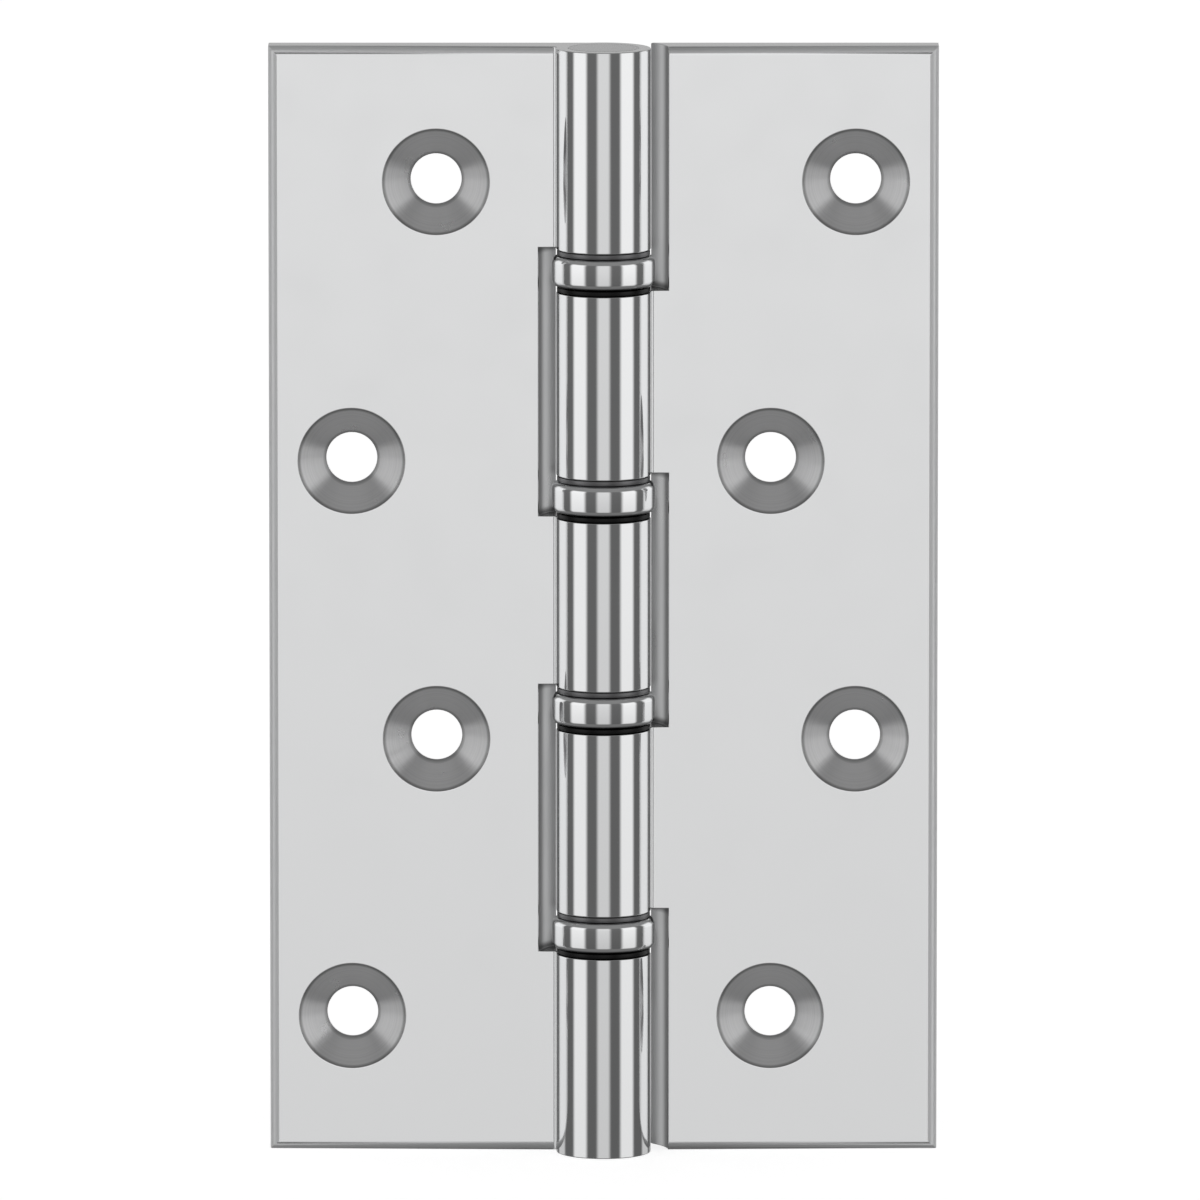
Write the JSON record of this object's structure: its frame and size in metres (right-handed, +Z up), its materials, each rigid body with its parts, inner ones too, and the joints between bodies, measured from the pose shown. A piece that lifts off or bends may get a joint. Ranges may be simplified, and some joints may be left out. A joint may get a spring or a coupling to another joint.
{
  "type": "door hinge",
  "caption": "Butt hinge for a door, laid open flat: square leaves with staggered countersunk screw holes, and knuckles on one pin with a collar and washers in each gap.",
  "frame": {"origin": "on the pin's axis, half way up the barrel, with the hinge open flat", "axes": "+Z up along the pin; +X from the pin towards the right leaf's outer edge; +Y towards the leaves' back faces, so the countersunk faces look along -Y"},
  "size_m": [0.0762, 0.0118, 0.127],
  "materials": {
    "polished_chrome": "polished",
    "pin_steel": "satin",
    "washer_steel": "satin"
  },
  "bodies": {
    "left_leaf_and_pin": {"left_leaf": "polished_chrome", "hinge_pin": "pin_steel", "top_plug": "polished_chrome", "bottom_plug": "polished_chrome"},
    "right_leaf": {"right_leaf": "polished_chrome"},
    "washer_1_upper": {"washer_1_upper": "washer_steel"},
    "collar_1": {"collar_1": "polished_chrome"},
    "washer_1_lower": {"washer_1_lower": "washer_steel"},
    "washer_2_upper": {"washer_2_upper": "washer_steel"},
    "collar_2": {"collar_2": "polished_chrome"},
    "washer_2_lower": {"washer_2_lower": "washer_steel"},
    "washer_3_upper": {"washer_3_upper": "washer_steel"},
    "collar_3": {"collar_3": "polished_chrome"},
    "washer_3_lower": {"washer_3_lower": "washer_steel"},
    "washer_4_upper": {"washer_4_upper": "washer_steel"},
    "collar_4": {"collar_4": "polished_chrome"},
    "washer_4_lower": {"washer_4_lower": "washer_steel"}
  },
  "joints": [
    {"name": "leaf_swing", "type": "hinge", "parent": "left_leaf_and_pin", "child": "right_leaf", "pos_m": [0, 0, 0], "axis": [0, 0, 1], "range_deg": [-180, 90]},
    {"name": "washer_1_upper_turn", "type": "hinge", "parent": "left_leaf_and_pin", "child": "washer_1_upper", "pos_m": [0, 0, 0], "axis": [0, 0, 1], "continuous": true},
    {"name": "collar_1_turn", "type": "hinge", "parent": "left_leaf_and_pin", "child": "collar_1", "pos_m": [0, 0, 0], "axis": [0, 0, 1], "continuous": true},
    {"name": "washer_1_lower_turn", "type": "hinge", "parent": "left_leaf_and_pin", "child": "washer_1_lower", "pos_m": [0, 0, 0], "axis": [0, 0, 1], "continuous": true},
    {"name": "washer_2_upper_turn", "type": "hinge", "parent": "left_leaf_and_pin", "child": "washer_2_upper", "pos_m": [0, 0, 0], "axis": [0, 0, 1], "continuous": true},
    {"name": "collar_2_turn", "type": "hinge", "parent": "left_leaf_and_pin", "child": "collar_2", "pos_m": [0, 0, 0], "axis": [0, 0, 1], "continuous": true},
    {"name": "washer_2_lower_turn", "type": "hinge", "parent": "left_leaf_and_pin", "child": "washer_2_lower", "pos_m": [0, 0, 0], "axis": [0, 0, 1], "continuous": true},
    {"name": "washer_3_upper_turn", "type": "hinge", "parent": "left_leaf_and_pin", "child": "washer_3_upper", "pos_m": [0, 0, 0], "axis": [0, 0, 1], "continuous": true},
    {"name": "collar_3_turn", "type": "hinge", "parent": "left_leaf_and_pin", "child": "collar_3", "pos_m": [0, 0, 0], "axis": [0, 0, 1], "continuous": true},
    {"name": "washer_3_lower_turn", "type": "hinge", "parent": "left_leaf_and_pin", "child": "washer_3_lower", "pos_m": [0, 0, 0], "axis": [0, 0, 1], "continuous": true},
    {"name": "washer_4_upper_turn", "type": "hinge", "parent": "left_leaf_and_pin", "child": "washer_4_upper", "pos_m": [0, 0, 0], "axis": [0, 0, 1], "continuous": true},
    {"name": "collar_4_turn", "type": "hinge", "parent": "left_leaf_and_pin", "child": "collar_4", "pos_m": [0, 0, 0], "axis": [0, 0, 1], "continuous": true},
    {"name": "washer_4_lower_turn", "type": "hinge", "parent": "left_leaf_and_pin", "child": "washer_4_lower", "pos_m": [0, 0, 0], "axis": [0, 0, 1], "continuous": true}
  ]
}
